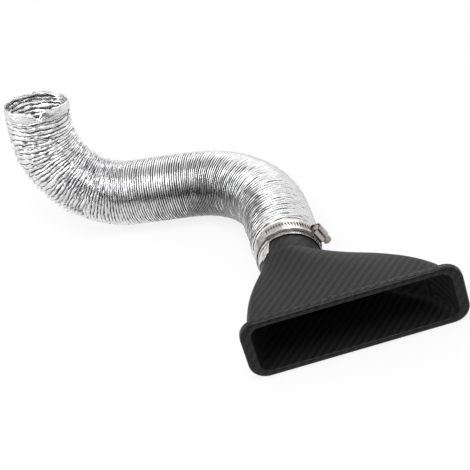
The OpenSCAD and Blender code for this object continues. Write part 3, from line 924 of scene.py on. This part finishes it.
# %% Group: drawn metal
def drawn():
    """Node group: fine lines along the neck's circumference, as a height and a tone."""
    group, start, end = new_group("drawn_metal", [("Place", "NodeSocketVector", None)],
                                  [("Height", "NodeSocketFloat"), ("Tone", "NodeSocketFloat")])
    squeezed = add(group, "ShaderNodeVectorMath", {0: start.outputs["Place"], 1: (120, 2600, 120)},
                   operation="MULTIPLY")
    lines = add(group, "ShaderNodeTexNoise", {"Vector": squeezed.outputs[0], "Scale": 1.0,
                                              "Detail": 2.0})
    # The tone is patchy: grime, and painted reflection of a darker room in the metal
    stains_and_reflections = add(group, "ShaderNodeTexNoise", {"Vector": start.outputs["Place"], "Scale": 160.0,
                                               "Detail": 3.0})
    group.links.new(lines.outputs[0], end.inputs["Height"])
    group.links.new(stains_and_reflections.outputs[0], end.inputs["Tone"])
    return group


drawn_group = drawn()

# %% [markdown]
# Steel and plating differ only in their tones and gloss, so one function makes them all. Each metal
# lies between a light tone and a dark one, which is grime and a painted reflection of a darker room.

# %% Steel and plated steel
def clamp_metal(name, light, dark, roughness):
    """A metal of the clamp between two tones, with drawn lines."""
    metal, tree, surface, place = new_material(name)
    surface.inputs["Metallic"].default_value = 1.0
    surface.inputs["Roughness"].default_value = roughness
    lines = add(tree, "ShaderNodeGroup", node_tree=drawn_group)
    tree.links.new(place, lines.inputs["Place"])
    tone = add(tree, "ShaderNodeMix", {"Factor": lines.outputs["Tone"], 6: (*dark, 1),
                                       7: (*light, 1)}, data_type="RGBA")
    tree.links.new(tone.outputs[2], surface.inputs["Base Color"])
    bump = add(tree, "ShaderNodeBump", {"Strength": 0.15, "Distance": 0.0002,
                                        "Height": lines.outputs["Height"]})
    tree.links.new(bump.outputs[0], surface.inputs["Normal"])
    return metal


steel = clamp_metal("band_steel", (0.72, 0.67, 0.64), (0.3, 0.275, 0.26), 0.24)
# The housing is the band's steel in darker tones: painted shade on the housing
housing_steel_shaded = clamp_metal("housing_steel_shaded", (0.62, 0.58, 0.54), (0.16, 0.148, 0.135), 0.2)
zinc = clamp_metal("screw_zinc", (0.5, 0.47, 0.37), (0.12, 0.11, 0.08), 0.3)
for name, finish_of in (("clamp_band", steel), ("clamp_saddle", steel), ("clamp_housing", housing_steel_shaded)):
    for slot in nodes[name].material_slots:
        slot.material = finish_of

# %% [markdown]
# The worm is a real spiral thread on the finished model. Its rings are lofted like the funnel's: the
# radius of each point rises and falls with its height and its angle together, and that is a thread.
# A collar follows on the same lathe. All of it is measured along the screw's own axis.

# %% The worm and its collar
CLAMP_Y, HOUSING_AT, SCREW_OUT = 136.35, math.radians(21.5), 39.3
CORE_R, THREAD_H, THREAD_PITCH, COLLAR_R, SCREW_SIDES = 3.3, 0.75, 2.2, 4.7, 48
# Along the screw: its rounded tip, the thread with the run in which it rises, and the collar
TIP_AT, THREAD_FROM, THREAD_L, THREAD_RISE = -7.9, -7.3, 14.3, 2
THREAD_RINGS, AXIS_R, EDGE = 58, 0.02, 0.2
collar_profile = [(7.15, CORE_R), (7.2, COLLAR_R - EDGE), (7.4, COLLAR_R), (8.0, COLLAR_R),
                  (8.2, COLLAR_R - EDGE), (8.2, AXIS_R)]
outwards = Vector((math.cos(HOUSING_AT), 0, math.sin(HOUSING_AT)))
headwards = Vector((math.sin(HOUSING_AT), 0, -math.cos(HOUSING_AT)))
screw_middle = Vector((NECK_X, CLAMP_Y, AXIS_Z)) + outwards * SCREW_OUT


def on_screw(out, across, run):
    """A place measured from the middle of the screw: outwards, across the band, towards the head."""
    return screw_middle + outwards * out + Vector((0, across, 0)) + headwards * run


def screw_ring(run, radius, thread=0):
    """A ring of the screw, with some height of its spiral thread."""
    ring = []
    for k in range(SCREW_SIDES):
        angle = 2 * math.pi * k / SCREW_SIDES
        rise = 1 - abs((run / THREAD_PITCH + k / SCREW_SIDES) % 1 * 2 - 1)
        r = radius + thread * min(max(rise * 1.7 - 0.35, 0), 1)
        ring.append(tuple(on_screw(r * math.cos(angle), r * math.sin(angle), run)))
    return ring


worm_rings = [screw_ring(TIP_AT, AXIS_R), screw_ring(TIP_AT, 2.2), screw_ring(-7.5, CORE_R - 0.3)]
for step in range(THREAD_RINGS):
    run = THREAD_FROM + THREAD_L * step / (THREAD_RINGS - 1)
    rise = min(1, (run - THREAD_FROM) / THREAD_RISE)
    worm_rings.append(screw_ring(run, CORE_R, THREAD_H * rise))
worm_rings += [screw_ring(run, radius) for run, radius in collar_profile]
worm = loft("screw_worm", worm_rings, closed=False)
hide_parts("clamp_screw")

# %% [markdown]
# The head is a hexagon prism with rounded edges. Its outer part is two prisms, each cut by
# `bisect_plane` at one side of the driver's slot and closed again with `holes_fill`.

# %% The slotted hexagon head
HEX_R, SLOT_HALF = 8 / math.sqrt(3), 0.65
# Along the screw: the whole part of the head, and the slotted part, which starts inside the whole one
HEAD_FROM, HEAD_WHOLE, SLOT_FROM, HEAD_TO = 8.1, 12.6, 12.3, 15.0


def hexagon(low, high, side=0):
    """A hexagon prism along the screw, whole or only the part at one side of the slot."""
    part = bmesh.new()
    bmesh.ops.create_cone(part, cap_ends=True, segments=6, radius1=HEX_R, radius2=HEX_R,
                          depth=high - low)
    bmesh.ops.translate(part, verts=part.verts, vec=(0, 0, (low + high) / 2))
    if side:
        everything = part.verts[:] + part.edges[:] + part.faces[:]
        bmesh.ops.bisect_plane(part, geom=everything, plane_co=(0, side * SLOT_HALF, 0),
                               plane_no=(0, -side, 0), clear_outer=True)
        bmesh.ops.holes_fill(part, edges=part.edges)
    bmesh.ops.bevel(part, geom=part.edges, offset=0.25, segments=2, profile=0.5, affect="EDGES")
    return part


head = bmesh.new()
for part in (hexagon(HEAD_FROM, HEAD_WHOLE), hexagon(SLOT_FROM, HEAD_TO, 1),
             hexagon(SLOT_FROM, HEAD_TO, -1)):
    piece = bpy.data.meshes.new("part_of_head")
    part.to_mesh(piece)
    part.free()
    head.from_mesh(piece)
for vert in head.verts:
    vert.co = spot(*on_screw(*vert.co))
bmesh.ops.recalc_face_normals(head, faces=head.faces)
screw_head = finish("screw_head", head, smooth=False)
for thing in (worm, screw_head):
    thing.data.materials.append(zinc)

# %% [markdown]
# Looking into the slots of the tail, one sees no lit steel but the shade between the two turns of the
# band. A thin dark sheet of painted shade, bent round the first turn, stands in for it. It is a grid
# whose columns are laid round the neck.

# %% The painted shade under the slotted tail
SHADE_SHEET_R, SHADE_SHEET_FROM, SHADE_SHEET_TO, SHADE_SHEET_W = 33.58, 33, 118, 9.5
shade_sheet = bmesh.new()
bmesh.ops.create_grid(shade_sheet, x_segments=40, y_segments=1, size=1)
for vert in shade_sheet.verts:
    angle = math.radians(SHADE_SHEET_FROM + (SHADE_SHEET_TO - SHADE_SHEET_FROM) * (vert.co.x + 1) / 2)
    vert.co = spot(NECK_X + SHADE_SHEET_R * math.cos(angle), CLAMP_Y + vert.co.y * SHADE_SHEET_W / 2,
                   AXIS_Z + SHADE_SHEET_R * math.sin(angle))
tail_slot_shade = finish("tail_slot_shade", shade_sheet)
slot_shade_paint, tree, surface, place = new_material("slot_shade")
# Painted shade: nearly black, with faint specks
specks = add(tree, "ShaderNodeTexNoise", {"Vector": place, "Scale": 900.0, "Detail": 3.0})
tone = add(tree, "ShaderNodeMix", {"Factor": specks.outputs[0], 6: (0.006, 0.006, 0.006, 1),
                                   7: (0.05, 0.045, 0.04, 1)}, data_type="RGBA")
tree.links.new(tone.outputs[2], surface.inputs["Base Color"])
surface.inputs["Roughness"].default_value = 0.8
tail_slot_shade.data.materials.append(slot_shade_paint)
